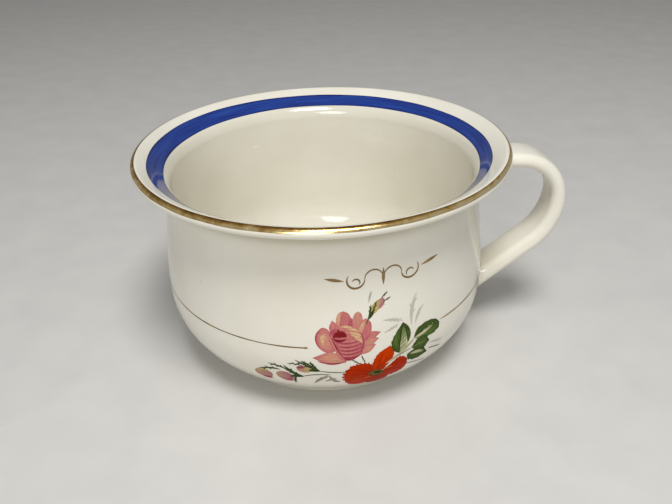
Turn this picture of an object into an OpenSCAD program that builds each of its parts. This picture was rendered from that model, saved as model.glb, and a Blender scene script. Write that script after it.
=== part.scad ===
// Glazed earthenware chamber pot with a strap handle, a blue rim band, gilt lines and a rose spray.
// Millimetres. The pot stands on its foot ring at z = 0, its axis is Z and the handle points along +X.

/* [Bowl] */
// Height from the table to the crest of the lip
pot_h = 130.2; // [120:0.1:145]
// Outermost radius of the lip
rim_r = 110; // [104:0.5:118]
// How far the neck lies inside the lip
neck_in = 16.6; // [15.6:0.2:20]
// How far the widest part of the belly lies inside the lip
belly_in = 12; // [8:0.5:14]
// Depth of the widest part of the belly below the crest of the lip
belly_fall = 82.2; // [76:0.1:90]
// Distance below the table at which the belly's lower curve would close
belly_tuck = 1; // [0.5:0.5:5]
// Wall thickness of belly and neck
wall = 4; // [3.5:0.1:6]
// Height of the inside floor above the table
floor_z = 8; // [6:0.5:12]

/* [Foot ring] */
// How far the foot ring lies inside the widest part of the belly
foot_in = 27.5; // [22:0.5:34]
// Height of the straight foot ring
foot_h = 5; // [3:0.1:7]
// Width of the ring that stands on the table
foot_w = 6.5; // [4:0.5:12]
// Depth of the recess inside the foot ring
foot_recess = 3; // [1:0.5:4]
// Rounding of the foot ring's outer edge
foot_round = 0.8; // [0.3:0.1:1.2]

/* [Rim flange] */
// Radius of the rounded lip
lip_r = 3; // [2.2:0.1:3.8]
// Rise from the throat corner to the crest of the lip
flange_rise = 12.8; // [11:0.1:13.4]
// Slope of the flange's upper face where it leaves the throat
flare_slope = 42; // [41:1:50]
// Radius of the flare, where that face bends outwards to the lip
flare_round = 40; // [30:1:46]
// Slope of the flange's under face
under_slope = 30; // [25:1:38]
// Radius of the rounded throat, where the neck turns into the flange
throat_round = 4; // [3:0.5:8]
// Radius of the fillet under the flange
neck_fillet = 8; // [5:0.5:9]

/* [Handle] */
// Width of the strap
handle_w = 24; // [18:0.5:30]
// Thickness of the strap
handle_t = 8.8; // [6:0.2:11]
// Depth of the strap's middle below the lip's crest, where it leaves the neck
handle_drop = 17.8; // [16:0.2:24]
// Upward angle at which the strap leaves the neck
handle_rise = 26; // [15:1:35]
// Radius of the gently arched crown of the strap
handle_crown_r = 48; // [40:1:60]
// Turn of the crown
handle_crown_turn = 33.5; // [25:0.5:40]
// Radius of the tight outer bend
handle_bend_r = 25; // [20:0.5:30]
// Turn of the outer bend
handle_bend_turn = 84; // [70:1:90]
// Radius of the bend that leads into the lower run
handle_back_r = 40; // [30:1:50]
// Height of the upper root's middle above the lower root's
handle_fall = 76.9; // [70:0.1:84]
// Reach of the slip seams out from the bowl along the strap
seam_l = 6; // [3:0.5:9]
// Width of the slip seams round the strap, at the bowl
seam_w = 2.6; // [1.5:0.1:4]

/* [Painted bands] */
// Thickness of the fired enamel and gilding
film_t = 0.15; // [0.1:0.01:0.3]
// Clearance between the blue band and the flange that it lies on
film_gap = 0.05; // [0.02:0.01:0.1]
// Bare glaze between the throat's round and the blue band
band_in = 2.4; // [0.5:0.1:3.5]
// Width of the blue band up the flange
band_w = 10; // [7:0.1:11]
// Angle at which the gilding round the lip starts, up from level outwards
gilt_from = 40; // [20:1:50]
// Angle of bare lip between the gilding and the flare
gilt_stop = 22; // [5:0.5:30]
// Height of the gilt line above the widest part of the belly
line_rise = 5.7; // [1:0.1:10]
// Width of the gilt line
line_w = 0.8; // [0.5:0.1:2]
// Direction of the gilt line's left end, from the front towards the handle
line_gap_from = -6; // [-20:1:0]
// Direction of its right end
line_gap_to = 39; // [30:1:50]

/* [Flower spray] */
// Distance of the rose's heart to the right of the front
rose_x = 10; // [0:0.5:20]
// Height of the rose's heart above the widest part of the belly
rose_rise = 9; // [2:0.5:14]
// Pitch of the grid on which the spray is drawn round the rose's heart
spray_pitch = 10; // [8:0.5:11]
// Radius of the rose's cup
rose_r = 11.5; // [9:0.5:14]
// Radius of the rose's outer petals
petal_r = 6.5; // [4:0.5:8]
// Radius of the poppy's petals
poppy_r = 8; // [6:0.5:9]
// Width of a leaf
leaf_w = 9; // [5:0.5:11]
// Width of a rosebud
bud_w = 6; // [4:0.5:8]
// Width of a stem
stem_w = 0.9; // [0.6:0.1:2]
// Width of a grey sprig
sprig_w = 2.2; // [1.5:0.1:4]

/* [Gilt flourish] */
// Distance of the flourish's middle to the right of the front
flourish_x = 29; // [15:0.5:40]
// Depth of its middle below the crest of the lip
flourish_drop = 38.2; // [34:0.1:44]
// Radius of its larger scrolls
scroll_r = 5; // [3:0.5:7]
// Width of its stroke
scroll_w = 0.9; // [0.6:0.1:2]

/* [Hidden] */
$fn = 180;
eps = 0.01;
front = -90;
belly_steps = 12;
round_steps = 8;
lip_steps = 6;
neck_r = rim_r - neck_in;
belly_r = rim_r - belly_in;
belly_z = pot_h - belly_fall;
foot_r = belly_r - foot_in;

// Flange: its upper face runs straight up from the throat, then bends outwards until it touches the lip
lip_c = [rim_r - lip_r, pot_h - lip_r];
throat_r = neck_r - wall;
throat_z = pot_h - flange_rise;
lip_run = lip_c - [throat_r, throat_z];
along = [cos(flare_slope), sin(flare_slope)];
upward = [-sin(flare_slope), cos(flare_slope)];
flare_dip = pow(flare_round - lip_r, 2) - pow(flare_round + lip_run * upward, 2);
flare_run = lip_run * along - sqrt(max(0, flare_dip));
flare_c = [throat_r, throat_z] + flare_run * along - flare_round * upward;
flare_from = 90 + flare_slope;
flare_to = atan2(lip_c[1] - flare_c[1], lip_c[0] - flare_c[0]);

// Throat round and neck fillet: each touches the faces on both its sides
throat_c = [throat_r + throat_round,
            throat_z + throat_round * tan(flare_slope) - throat_round / cos(flare_slope)];
straight_l = (flare_c - throat_c) * along;
fillet_x = neck_r + neck_fillet;
neck_z = lip_c[1] - (neck_fillet + lip_r + (lip_c[0] - fillet_x) * sin(under_slope)) / cos(under_slope);
fillet_c = [fillet_x, neck_z];

// Lower belly: an ellipse that passes through the top of the foot ring and stands upright at the belly
belly_drop = belly_z + belly_tuck;
belly_round = (belly_r - foot_r) / (1 - sqrt(1 - pow((belly_z - foot_h) / belly_drop, 2)));
belly_x = belly_r - belly_round;
foot_angle = -asin((belly_z - foot_h) / belly_drop);

function arc(c, r, from, to, steps) =
    [for (i = [0 : steps]) let (a = from + (to - from) * i / steps) c + r * [cos(a), sin(a)]];
function lower_belly(inset, drop, from) =
    [for (i = [0 : belly_steps]) let (a = from * (1 - i / belly_steps))
        [belly_x + (belly_round - inset) * cos(a), belly_z + drop * sin(a)]];
function upper_belly(inset) =
    [for (i = [1 : belly_steps]) let (h = i / belly_steps)
        [belly_r - inset - (belly_r - neck_r) * (1 - cos(180 * h)) / 2, belly_z + (neck_z - belly_z) * h]];
function backwards(list) = [for (i = [len(list) - 1 : -1 : 0]) list[i]];
function shifted(list, by) = [for (p = list) p + by];

// Place on the flange's upper face, a run up from the throat's round, lifted off that face
function on_flange(run, lift) = run < straight_l
    ? throat_c + run * along + (throat_round + lift) * upward
    : let (a = flare_from - (run - straight_l) / flare_round * 180 / PI)
        flare_c + (flare_round + lift) * [cos(a), sin(a)];

outer_wall = concat(lower_belly(0, belly_drop, foot_angle), upper_belly(0));
outer_rim = concat(arc(fillet_c, neck_fillet, 180, 90 + under_slope, round_steps),
                   arc(lip_c, lip_r, under_slope - 90, gilt_from, lip_steps));
gilt_to = flare_to - gilt_stop;
lip_top = arc(lip_c, lip_r, gilt_from, gilt_to, lip_steps);
rim_top = concat(arc(lip_c, lip_r, gilt_to, flare_to, lip_steps),
                 arc(flare_c, flare_round, flare_to, flare_from, round_steps));
inner_wall = concat(arc(throat_c, throat_round, flare_from, 180, round_steps),
                    backwards(upper_belly(wall)),
                    backwards(lower_belly(wall, belly_z - floor_z, -90)));
foot_edge = arc([foot_r - foot_round, foot_round], foot_round, -90, 0, lip_steps);
foot_inner = foot_r - foot_w;
foot_ring = concat([[0, foot_recess], [foot_inner - foot_recess / 2, foot_recess], [foot_inner, 0]],
                   foot_edge);

// Handle: a chain of bends in the plane y = 0, each turning downwards from the heading it starts with
handle_start = [neck_r, pot_h - handle_drop];
handle_root_z = handle_start[1] - handle_fall;
function bend_c(p, heading, r) = p + r * [sin(heading), -cos(heading)];
function bend_end(p, heading, r, turn) =
    bend_c(p, heading, r) + r * [-sin(heading - turn), cos(heading - turn)];
crown_end = bend_end(handle_start, handle_rise, handle_crown_r, handle_crown_turn);
crown_heading = handle_rise - handle_crown_turn;
outer_end = bend_end(crown_end, crown_heading, handle_bend_r, handle_bend_turn);
outer_heading = crown_heading - handle_bend_turn;
back_c = bend_c(outer_end, outer_heading, handle_back_r);

// The lower run leaves the last bend along the line that meets the belly at the root
root_r = belly_x + belly_round * sqrt(1 - pow((belly_z - handle_root_z) / belly_drop, 2));
root_run = [root_r, handle_root_z] - back_c;
run_l = sqrt(root_run * root_run - handle_back_r * handle_back_r);
leave_angle = atan2(root_run[1], root_run[0]) + atan2(run_l, handle_back_r);
back_turn = (outer_heading + 90 - leave_angle + 720) % 360;
root_heading = outer_heading - back_turn;

// Lower root: slant of the strap to the wall, and the point where it meets it
root = [root_r, handle_root_z];
root_drop = belly_z - handle_root_z;
root_lean = belly_round * root_drop / pow(belly_drop, 2) / sqrt(1 - pow(root_drop / belly_drop, 2));
root_slant = root_heading + 180 + atan(root_lean);

// Upper root: runs after which the under face leaves the neck and the upper face clears the flange
neck_slant = handle_rise + asin(max(0, handle_start[1] - neck_z) / neck_fillet);
neck_low = -handle_t / 2 * tan(neck_slant);
flange_lean = sin(under_slope - handle_rise);
strap_top = handle_start + handle_t / 2 * [-sin(handle_rise), cos(handle_rise)];
flange_depth = lip_r + (strap_top - lip_c) * [-sin(under_slope), cos(under_slope)];
neck_clear = sqrt(max(0, pow(flange_lean, 2) + 2 * flange_depth / handle_crown_r)) - flange_lean;
neck_high = max(-neck_low, handle_crown_r * neck_clear);
neck_mid = (neck_low + neck_high) / 2;
function tail_l(slant) = wall + handle_t / 2 * tan(slant);
function crown_turn(l) = l / handle_crown_r * 180 / PI;
neck_tail = crown_turn(tail_l(neck_slant));
function step(p, heading, l) = p + l * [cos(heading), sin(heading)];

// Whole pot, filled to its axis: what the handle and its seams are trimmed to
module envelope() {
    rotate_extrude()
        polygon(concat([[0, 0]], foot_edge, outer_wall, outer_rim, lip_top, [[0, pot_h]]));
}

// Thin skin that lies on the outer wall, from the foot ring to the neck
module wall_skin() {
    rotate_extrude()
        polygon(concat(outer_wall, backwards(shifted(outer_wall, [film_t, 0]))));
}

module strap_section(w, t) {
    polygon(concat(arc([0, (w - t) / 2], t / 2, 0, 180, round_steps),
                   arc([0, (t - w) / 2], t / 2, 180, 360, round_steps)));
}

// One bend of the strap, and one straight run, both in the plane y = 0
module bend(p, heading, r, turn) {
    c = bend_c(p, heading, r);
    translate([c[0], 0, c[1]]) rotate([90, 0, 0]) rotate([0, 0, heading + 90 - turn])
        rotate_extrude(angle = turn + eps) translate([r, 0]) strap_section(handle_w, handle_t);
}
module run(p, heading, l) {
    translate([p[0], 0, p[1]]) rotate([0, 90 - heading, 0])
        linear_extrude(l) strap_section(handle_w, handle_t);
}

module strap() {
    bend(bend_end(handle_start, handle_rise, handle_crown_r, -neck_tail), handle_rise + neck_tail,
         handle_crown_r, handle_crown_turn + neck_tail);
    bend(crown_end, crown_heading, handle_bend_r, handle_bend_turn);
    bend(outer_end, outer_heading, handle_back_r, back_turn);
    run(step(root, root_heading, -run_l - eps), root_heading, run_l + tail_l(root_slant));
}

// One thin ring of slip round the strap, slanted to lie along the wall
module slip_ring(p, heading, slant, proud) {
    translate([p[0], 0, p[1]]) rotate([0, 90 - heading, 0])
        multmatrix([[1, 0, 0, 0], [0, 1, 0, 0], [-tan(slant), 0, 1, 0]])
            linear_extrude(eps) strap_section(handle_w + 2 * proud, handle_t + 2 * proud);
}

// Film cut from the wall's skin by a shape that is drawn as seen from the front
module film() {
    intersection() {
        wall_skin();
        rotate([90, 0, 0]) linear_extrude(rim_r) children();
    }
}

// Pointed leaf, bud or sprig between two points, and a straight stem
module blade(p, q, w) {
    chord = norm(q - p);
    r = (chord * chord + w * w) / (4 * w);
    translate((p + q) / 2) rotate(atan2(q[1] - p[1], q[0] - p[0]))
        intersection_for (side = [-1, 1]) translate([0, side * (r - w / 2)]) circle(r, $fn = 240);
}
module stem(p, q) {
    translate(p) rotate(atan2(q[1] - p[1], q[0] - p[0]))
        translate([0, -stem_w / 2]) square([norm(q - p), stem_w]);
}
module scroll(p, r, from, to) {
    translate(p) intersection() {
        difference() {
            circle(r);
            circle(r - scroll_w);
        }
        polygon(concat([[0, 0]], arc([0, 0], 2 * r, from, to, lip_steps)));
    }
}

// Place on the spray's drawing grid, whose middle is the rose's heart
function spray(a, b) = [rose_x, belly_z + rose_rise] + spray_pitch * [a, b];

module rose_shape() {
    translate(spray(0, 0)) circle(rose_r);
    for (p = [[-1.1, 0.2], [-0.9, -0.9], [-0.2, 1.2], [0.7, 1.0], [1.2, -0.2]])
        translate(spray(p[0], p[1])) circle(petal_r);
}
module poppy_shape() {
    for (p = [[1.7, -2.7], [0.7, -2.7], [1.9, -1.6], [2.8, -2.5]])
        translate(spray(p[0], p[1])) circle(poppy_r);
}
module leaf_shape() {
    blade(spray(2.9, -1.5), spray(3, 0.5), leaf_w);
    blade(spray(3.4, -0.9), spray(5, -0.3), leaf_w);
    blade(spray(3.2, -1.6), spray(4.7, -1.5), leaf_w);
    blade(spray(3.1, -1.9), spray(4.6, -2.4), leaf_w);
}
module bud_shape() {
    blade(spray(1.1, 1.2), spray(2.1, 2.4), bud_w);
    blade(spray(-5.3, -3.1), spray(-4.1, -2.6), bud_w);
    blade(spray(-4.2, -3), spray(-2.9, -2.6), bud_w);
    blade(spray(-2.8, -1.8), spray(-1.7, -1.9), bud_w);
}
module stem_shape() {
    stem(spray(-3, -2.6), spray(0.2, -2.2));
    stem(spray(-1.8, -1.9), spray(0.2, -2.3));
    stem(spray(0.3, -1), spray(0.8, -1.9));
    stem(spray(4.4, -1.8), spray(5.7, -2.5));
}
module sprig_shape() {
    blade(spray(3.3, 0.4), spray(3.8, 2.1), sprig_w);
    blade(spray(3.7, -0.1), spray(4.2, 1.2), sprig_w);
    blade(spray(1.7, 0.9), spray(3.2, 0.5), sprig_w);
    blade(spray(-1.9, -3.1), spray(-0.5, -2.7), sprig_w);
}
module flourish_shape() {
    for (side = [0, 1]) translate([flourish_x, pot_h - flourish_drop]) mirror([side, 0]) {
        scroll([scroll_r, 0], scroll_r, -10, 180);
        scroll([3 * scroll_r - scroll_w, 0], scroll_r, 170, 400);
        scroll([3 * scroll_r - scroll_w, -0.3 * scroll_r], scroll_r / 2, 20, 220);
        blade([4 * scroll_r, 0], [6 * scroll_r, 0.4 * scroll_r], 2 * scroll_w);
        blade([0, -scroll_r], [0, scroll_r], 2 * scroll_w);
    }
}

// The bowl: foot ring, belly, neck and flared rim in one turned shell
module bowl() {
    color("ivory") rotate_extrude()
        polygon(concat(foot_ring, outer_wall, outer_rim, lip_top, rim_top, inner_wall, [[0, floor_z]]));
}
// The strap handle, trimmed to the bowl at both ends
module handle() {
    color("ivory") difference() {
        strap();
        envelope();
    }
}
// The seams of slip: tapered collars from inside the wall out along the strap
module upper_slip_seam() {
    slant = atan((neck_high - neck_low) / handle_t);
    color("linen") difference() {
        hull() {
            slip_ring(step(handle_start, handle_rise, -wall), handle_rise, slant, seam_w);
            for (ring = [[neck_mid, seam_w], [neck_mid + seam_l, film_t]]) let (turn = crown_turn(ring[0]))
                slip_ring(bend_end(handle_start, handle_rise, handle_crown_r, turn), handle_rise - turn,
                          slant - turn, ring[1]);
        }
        strap();
        envelope();
    }
}
module lower_slip_seam() {
    color("linen") difference() {
        hull()
            for (ring = [[-wall, seam_w], [0, seam_w], [seam_l, film_t]])
                slip_ring(step(root, root_heading, -ring[0]), root_heading + 180, root_slant, ring[1]);
        strap();
        envelope();
    }
}
// The blue enamel band on the flange's upper face
module blue_band() {
    runs = [for (i = [0 : round_steps]) band_in + band_w * i / round_steps];
    color("navy") rotate_extrude()
        polygon(concat([for (run = runs) on_flange(run, film_gap)],
                       [for (run = backwards(runs)) on_flange(run, film_gap + film_t)]));
}
module gilt_rim_line() {
    color("goldenrod") rotate_extrude()
        polygon(concat(lip_top, backwards(arc(lip_c, lip_r + film_t, gilt_from, gilt_to, 6))));
}
// The gilt line round the belly, open at the front behind the spray
module gilt_belly_line() {
    color("darkgoldenrod") intersection() {
        wall_skin();
        translate([0, 0, belly_z + line_rise - line_w / 2]) rotate([0, 0, front + line_gap_to])
            rotate_extrude(angle = 360 - line_gap_to + line_gap_from) square([rim_r, line_w]);
    }
}
module rose_print() { color("hotpink") film() rose_shape(); }
module poppy_print() { color("orangered") film() difference() { poppy_shape(); rose_shape(); } }
module leaf_print() {
    color("seagreen") film() difference() {
        leaf_shape();
        poppy_shape();
        rose_shape();
    }
}
module bud_print() { color("pink") film() difference() { bud_shape(); rose_shape(); } }
module stem_print() {
    color("olivedrab") film() difference() {
        stem_shape();
        bud_shape();
        leaf_shape();
        poppy_shape();
        rose_shape();
    }
}
module sprig_print() {
    color("silver") film() difference() {
        sprig_shape();
        stem_shape();
        bud_shape();
        leaf_shape();
        rose_shape();
    }
}
module gilt_flourish() { color("gold") film() flourish_shape(); }

bowl();
handle();
upper_slip_seam();
lower_slip_seam();
blue_band();
gilt_rim_line();
gilt_belly_line();
rose_print();
poppy_print();
leaf_print();
bud_print();
stem_print();
sprig_print();
gilt_flourish();
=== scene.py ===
import math

import bmesh
import bpy
from mathutils import Matrix, Vector


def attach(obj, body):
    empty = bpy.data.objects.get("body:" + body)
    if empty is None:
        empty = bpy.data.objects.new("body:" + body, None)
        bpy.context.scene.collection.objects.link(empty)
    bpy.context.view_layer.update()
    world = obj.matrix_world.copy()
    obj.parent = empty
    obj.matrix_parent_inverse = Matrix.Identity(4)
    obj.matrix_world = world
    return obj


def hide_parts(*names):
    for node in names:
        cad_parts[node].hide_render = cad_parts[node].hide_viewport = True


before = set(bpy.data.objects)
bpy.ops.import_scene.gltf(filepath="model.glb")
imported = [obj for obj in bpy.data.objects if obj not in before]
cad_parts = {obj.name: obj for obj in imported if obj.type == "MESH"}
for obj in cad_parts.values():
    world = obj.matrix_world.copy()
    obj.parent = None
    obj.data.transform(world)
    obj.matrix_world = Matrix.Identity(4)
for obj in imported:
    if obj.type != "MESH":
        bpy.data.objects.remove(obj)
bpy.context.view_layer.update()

# Viewpoint: the camera stands in front of the pot, 0.48 m from the middle of its foot, and looks down by
# 30 degrees with hardly any roll. The handle, along +X, stands to the right.
camera_place = Vector((0, -0.38568, 0.28127))
yaw = 0.018449
pitch = 0.532801
roll = -0.024375
ahead = Vector((math.sin(yaw) * math.cos(pitch), math.cos(yaw) * math.cos(pitch), -math.sin(pitch)))
level = Vector((math.cos(yaw), -math.sin(yaw), 0))
above = level.cross(ahead)
camera_right = level * math.cos(roll) + above * math.sin(roll)
camera_up = above * math.cos(roll) - level * math.sin(roll)
camera_turn = Matrix((camera_right, camera_up, -ahead)).transposed().to_4x4()
camera = bpy.data.objects.new("camera", bpy.data.cameras.new("camera"))
camera.data.sensor_width = 36
camera.data.lens = 37.5
camera.data.clip_start = 0.01
camera.matrix_world = Matrix.Translation(camera_place) @ camera_turn
bpy.context.collection.objects.link(camera)
bpy.context.scene.camera = camera
bpy.context.scene.view_settings.view_transform = "Standard"


# Studio: a wide sheet of pale matt paper under the pot, a round soft lamp high over it, another farther
# off in front like a window, and even light from all round.
def linear(code):
    """Turns an sRGB hex colour into the linear colour that a shader takes."""
    parts = [int(code[i:i + 2], 16) / 255 for i in (1, 3, 5)]
    return [p / 12.92 if p <= 0.04045 else ((p + 0.055) / 1.055) ** 2.4 for p in parts] + [1.0]


def add(tree, kind, links=None, stops=(), **settings):
    """Adds a shader node with its settings, its inputs' values or links, and a ramp's stops."""
    node = tree.nodes.new(kind)
    for name, value in settings.items():
        setattr(node, name, value)
    for socket, source in (links or {}).items():
        if isinstance(source, bpy.types.NodeSocket):
            tree.links.new(source, node.inputs[socket])
        else:
            node.inputs[socket].default_value = source
    for place, code in stops[1:-1]:
        node.color_ramp.elements.new(place).color = linear(code)
    for i in (0, -1):
        if stops:
            node.color_ramp.elements[i].position = stops[i][0]
            node.color_ramp.elements[i].color = linear(stops[i][1])
    return node


paper = bpy.data.materials.new("matt_paper")
paper.use_nodes = True
fibres = add(paper.node_tree, "ShaderNodeTexNoise", {"Scale": 1 / 0.004, "Detail": 4.0})
paper_tone = add(paper.node_tree, "ShaderNodeValToRGB", {"Fac": fibres.outputs["Fac"]},
                 [(0.3, "#CDCBC7"), (0.7, "#D3D1CC")])
paper_shader = paper.node_tree.nodes["Principled BSDF"]
paper.node_tree.links.new(paper_tone.outputs["Color"], paper_shader.inputs["Base Color"])
paper_shader.inputs["Roughness"].default_value = 0.9
sheet = bmesh.new()
bmesh.ops.create_grid(sheet, x_segments=2, y_segments=2, size=4)
floor_mesh = bpy.data.meshes.new("paper_floor")
sheet.to_mesh(floor_mesh)
sheet.free()
floor_mesh.materials.append(paper)
floor = bpy.data.objects.new("paper_floor", floor_mesh)
bpy.context.collection.objects.link(floor)

for lamp_name, lamp_place, lamp_size, lamp_power in (
        ("high_lamp", Vector((0.1, -0.55, 1.3)), 0.5, 13.4),
        ("window_lamp", Vector((-0.25, -1.4, 0.85)), 0.6, 7.2)):
    lamp = bpy.data.objects.new(lamp_name, bpy.data.lights.new(lamp_name, "AREA"))
    lamp.data.shape = "DISK"
    lamp.data.size = lamp_size
    lamp.data.energy = lamp_power
    lamp.location = lamp_place
    lamp.rotation_euler = (Vector((0, 0, 0.06)) - lamp_place).to_track_quat("-Z", "Y").to_euler()
    bpy.context.collection.objects.link(lamp)
surroundings = bpy.data.worlds.new("even_light")
surroundings.use_nodes = True
bpy.context.scene.world = surroundings
sky = surroundings.node_tree.nodes["Background"]
sky.inputs["Color"].default_value = linear("#F4F5F6")
sky.inputs["Strength"].default_value = 0.23

# Bowl: one piece of earthenware turned on a wheel, with a rounded lip on a flared rim, a full belly and a
# low foot ring. It was dipped in clear glaze, and only the face it stands on was wiped bare.
pot_h = 130.2
rim_r = 110.0
neck_r = 93.4
belly_r = 98.0
belly_z = 48.0
belly_tuck = 1.0
wall = 4.0
floor_z = 8.0
foot_r = 70.5
foot_h = 5.0
foot_w = 6.5
foot_recess = 3.0
foot_round = 0.8
lip_r = 3.0
flange_rise = 12.8
flare_slope = 42.0
flare_round = 40.0
under_slope = 30.0
throat_round = 10.0
neck_fillet = 8.0
pool_and_shade_spread = 4.5
oval = 0.25
oval_at = 1.1
lobes = 0.08
lobes_at = -1.0
lean = 1.1
lean_at = 2.15


def arc(centre, radius, start, end, steps):
    """Points along one round of the pot's section, its angles in degrees up from level outwards."""
    angles = [math.radians(start + (end - start) * i / steps) for i in range(steps + 1)]
    return [centre + radius * Vector((math.cos(a), math.sin(a))) for a in angles]


def lower_belly(inset, drop, start, steps=44):
    """Points up the lower belly, a part of an ellipse, from an angle in degrees to the widest place."""
    angles = [math.radians(start * (1 - i / steps)) for i in range(steps + 1)]
    return [Vector((belly_r - belly_round + (belly_round - inset) * math.cos(a),
                    belly_z + drop * math.sin(a))) for a in angles]


def upper_belly(inset, steps=44):
    """Points up the upper belly, a gentle double curve, from just above the widest place to the neck."""
    rises = [i / steps for i in range(1, steps + 1)]
    return [Vector((belly_r - inset - (belly_r - neck_r) * (1 - math.cos(math.pi * h)) / 2,
                    belly_z + (neck_z - belly_z) * h)) for h in rises]


lip_c = Vector((rim_r - lip_r, pot_h - lip_r))
throat = Vector((neck_r - wall, pot_h - flange_rise))
lip_run = lip_c - throat
up_slope = Vector((math.cos(math.radians(flare_slope)), math.sin(math.radians(flare_slope))))
off_slope = Vector((-up_slope.y, up_slope.x))
flare_gap = (flare_round - lip_r) ** 2 - (flare_round + lip_run.dot(off_slope)) ** 2
flare_c = throat + (lip_run.dot(up_slope) - math.sqrt(flare_gap)) * up_slope - flare_round * off_slope
flare_from = 90 + flare_slope
flare_to = math.degrees(math.atan2(lip_c.y - flare_c.y, lip_c.x - flare_c.x))
throat_c = throat + throat_round * Vector((1, (up_slope.y - 1) / up_slope.x))
fillet_x = neck_r + neck_fillet
under_up = Vector((math.cos(math.radians(under_slope)), math.sin(math.radians(under_slope))))
neck_z = lip_c.y - (neck_fillet + lip_r + (lip_c.x - fillet_x) * under_up.y) / under_up.x
belly_drop = belly_z + belly_tuck
foot_share = (belly_z - foot_h) / belly_drop
belly_round = (belly_r - foot_r) / (1 - math.sqrt(1 - foot_share ** 2))

outer_wall = lower_belly(0, belly_drop, -math.degrees(math.asin(foot_share))) + upper_belly(0)
under_rim = arc(Vector((fillet_x, neck_z)), neck_fillet, 180, 90 + under_slope, 14)
lip_outside = arc(lip_c, lip_r, under_slope - 90, flare_to, 40)[:-1]
rim_top = arc(flare_c, flare_round, flare_to, flare_from, 24)
throat_turn = arc(throat_c, throat_round, flare_from, 180, 14)
inside = upper_belly(wall)[::-1] + lower_belly(wall, belly_z - floor_z, -90)[::-1]
foot_inner = foot_r - foot_w

# The recess in the foot has a steep side with both corners eased. The points at 40 and 25 mm from the
# axis only divide the wide flat faces under the pot and inside it.
foot_ring = [Vector((0, foot_recess)), Vector((40, foot_recess)), Vector((foot_inner - 2, foot_recess)),
             Vector((foot_inner - 1.4, foot_recess - 0.3)), Vector((foot_inner - 0.2, 0.2))]
foot_ring += [Vector((foot_inner + 0.2, 0)), Vector((foot_r - 3, 0))]
foot_ring += arc(Vector((foot_r - foot_round, foot_round)), foot_round, -90, 0, 6)
section = foot_ring + outer_wall + under_rim + lip_outside + rim_top + throat_turn + inside
section += [Vector((25, floor_z)), Vector((0, floor_z))]

# Painted greyer under the rim, over the foot and round the floor: gathered glaze and painted shade.
creases = [under_rim[9], Vector((foot_r + 0.5, foot_h + 0.3)),
           Vector((belly_r - belly_round + 4, floor_z))]


def settle(bm):
    """Gives a piece the lean and slight out-of-round that the pot took on in the kiln, in millimetres."""
    for v in bm.verts:
        around = math.atan2(v.co.y, v.co.x)
        height = max(0.0, v.co.z / pot_h)
        draw_in = oval * height * (1 + math.cos(2 * around - oval_at))
        draw_in += lobes * (1 + math.cos(3 * around - lobes_at))
        shrink = 1 - draw_in / rim_r
        v.co.x *= shrink
        v.co.y *= shrink
        v.co.z -= lean * height ** 3 * (1 + math.cos(around - lean_at))


def make_piece(name, bm, material, slot, *nodes):
    """Turns a mesh that is drawn in millimetres into a smooth piece of the pot, in metres."""
    settle(bm)
    bmesh.ops.scale(bm, vec=(0.001, 0.001, 0.001), verts=bm.verts)
    mesh = bpy.data.meshes.new(name)
    bm.to_mesh(mesh)
    bm.free()
    mesh.materials.append(material)
    mesh.shade_smooth()
    mesh.set_sharp_from_angle(angle=math.radians(50))
    piece = bpy.data.objects.new(name, mesh)
    bpy.context.collection.objects.link(piece)
    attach(piece, "root")
    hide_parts(*nodes)


def turned(points, steps=180):
    """Turns a section of the pot, in radius and height, right round its axis."""
    bm = bmesh.new()
    ring = [bm.verts.new((p.x, 0, p.y)) for p in points]
    ring += [bm.edges.new(pair) for pair in zip(ring, ring[1:])]
    bmesh.ops.spin(bm, geom=ring, axis=(0, 0, 1), cent=(0, 0, 0), angle=math.tau, steps=steps,
                   use_merge=True)
    bmesh.ops.remove_doubles(bm, verts=bm.verts, dist=0.001)
    bmesh.ops.recalc_face_normals(bm, faces=bm.faces)
    return bm


# Clear lead glaze on cream earthenware: a warm, slightly uneven white with a wet gloss, a little greyer
# in the creases, partly gathered glaze and partly painted shade, fine orange peel, and a few iron specks.
# The wiped foot is dull buff biscuit.
glaze = bpy.data.materials.new("glazed_cream_earthenware")
glaze.use_nodes = True
tree = glaze.node_tree
place = add(tree, "ShaderNodeTexCoord").outputs["Object"]
cloud = add(tree, "ShaderNodeTexNoise", {"Vector": place, "Scale": 1 / 0.04, "Detail": 3.0})
cream = add(tree, "ShaderNodeValToRGB", {"Fac": cloud.outputs["Fac"]},
            [(0.3, "#E3DECE"), (0.7, "#E9E5D8")])
pool_and_crease_shade = add(tree, "ShaderNodeAttribute", attribute_name="pooled_glaze_and_crease_shade")
# Partly painted shade: the cream is mixed towards grey in the creases and at the handle's roots.
run = add(tree, "ShaderNodeMix", {0: pool_and_crease_shade.outputs["Fac"], 6: cream.outputs["Color"],
                                  7: linear("#C6C1AB")}, data_type="RGBA")
grain = add(tree, "ShaderNodeTexVoronoi", {"Vector": place, "Scale": 1 / 0.006})
dot = add(tree, "ShaderNodeMapRange", {"Value": grain.outputs["Distance"], "From Min": 0.03,
                                       "From Max": 0.06, "To Min": 0.7, "To Max": 0.0})
few = add(tree, "ShaderNodeMath", {0: grain.outputs["Color"], 1: 0.62}, operation="GREATER_THAN")
speck = add(tree, "ShaderNodeMath", {0: dot.outputs["Result"], 1: few.outputs["Value"]},
            operation="MULTIPLY")
specked = add(tree, "ShaderNodeMix", {0: speck.outputs["Value"], 6: run.outputs[2],
                                      7: linear("#8C7C66")}, data_type="RGBA")
height = add(tree, "ShaderNodeSeparateXYZ", {"Vector": place})
wiped = add(tree, "ShaderNodeMapRange", {"Value": height.outputs["Z"], "From Min": 0.0002,
                                         "From Max": 0.0005, "To Min": 1.0, "To Max": 0.0})
body = add(tree, "ShaderNodeMix", {0: wiped.outputs["Result"], 6: specked.outputs[2],
                                   7: linear("#CDBD9E")}, data_type="RGBA")
gloss = add(tree, "ShaderNodeMapRange", {"Value": cloud.outputs["Fac"], "From Min": 0.3, "From Max": 0.7,
                                         "To Min": 0.07, "To Max": 0.14})
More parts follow.
